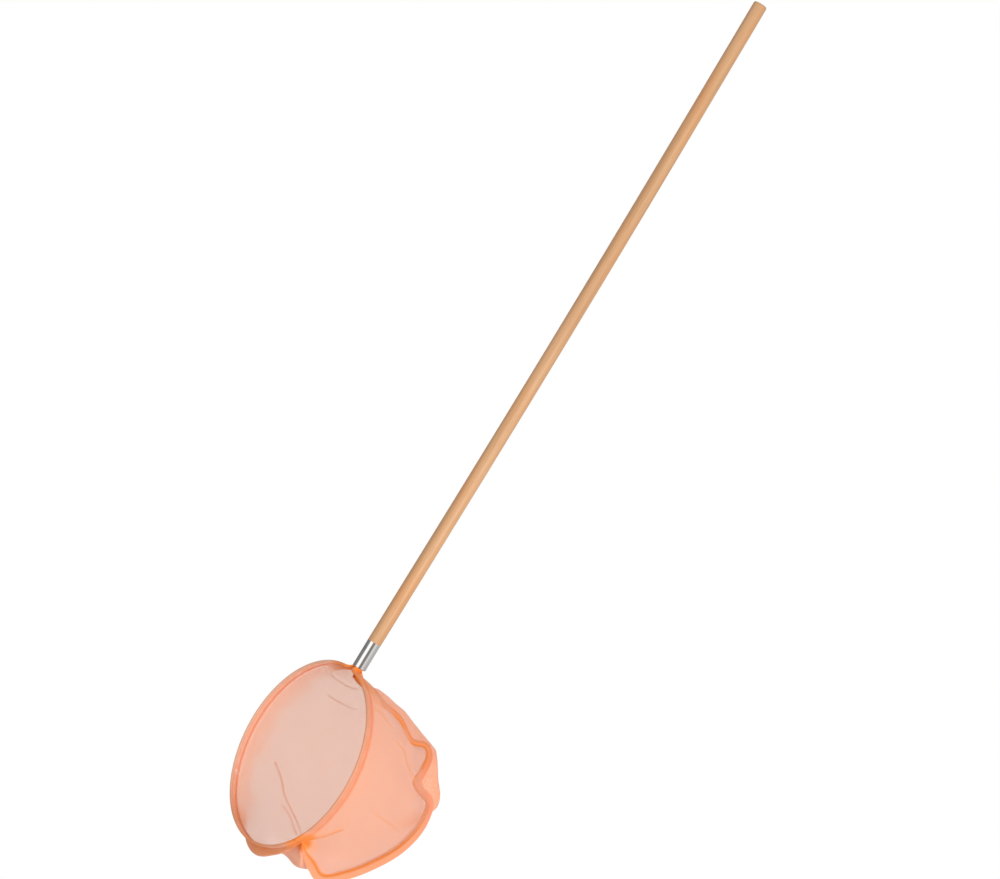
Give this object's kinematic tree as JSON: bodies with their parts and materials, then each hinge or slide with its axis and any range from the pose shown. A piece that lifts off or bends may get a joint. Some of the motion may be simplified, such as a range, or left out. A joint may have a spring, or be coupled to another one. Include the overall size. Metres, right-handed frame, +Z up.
{
  "type": "dip net",
  "caption": "Hand dip net: a fine mesh bag hemmed over a round wire hoop, which a rolled and crimped metal ferrule clamps to the end of a long round wooden pole.",
  "frame": {"origin": "on the pole's axis, in the middle of the grip, 100 mm below the pole's upper end", "axes": "+Z up along the pole to its free end, -Y out of the bag's mouth, so that the bag trails to +Y, and +X to the right when the mouth is looked into"},
  "size_m": [0.207, 0.1613, 1.0091],
  "materials": {
    "pole_wood": "smooth bare wood with a fine straight grain",
    "ferrule_metal": "bright tinned sheet with fine lengthwise marks",
    "hoop_steel": "drawn steel wire, satin",
    "bag_mesh": "fine see-through orange synthetic mesh"
  },
  "bodies": {
    "root": {"pole": "pole_wood", "ferrule": "ferrule_metal", "hoop_wire": "hoop_steel", "right_panel": "bag_mesh", "left_panel": "bag_mesh"}
  },
  "joints": []
}
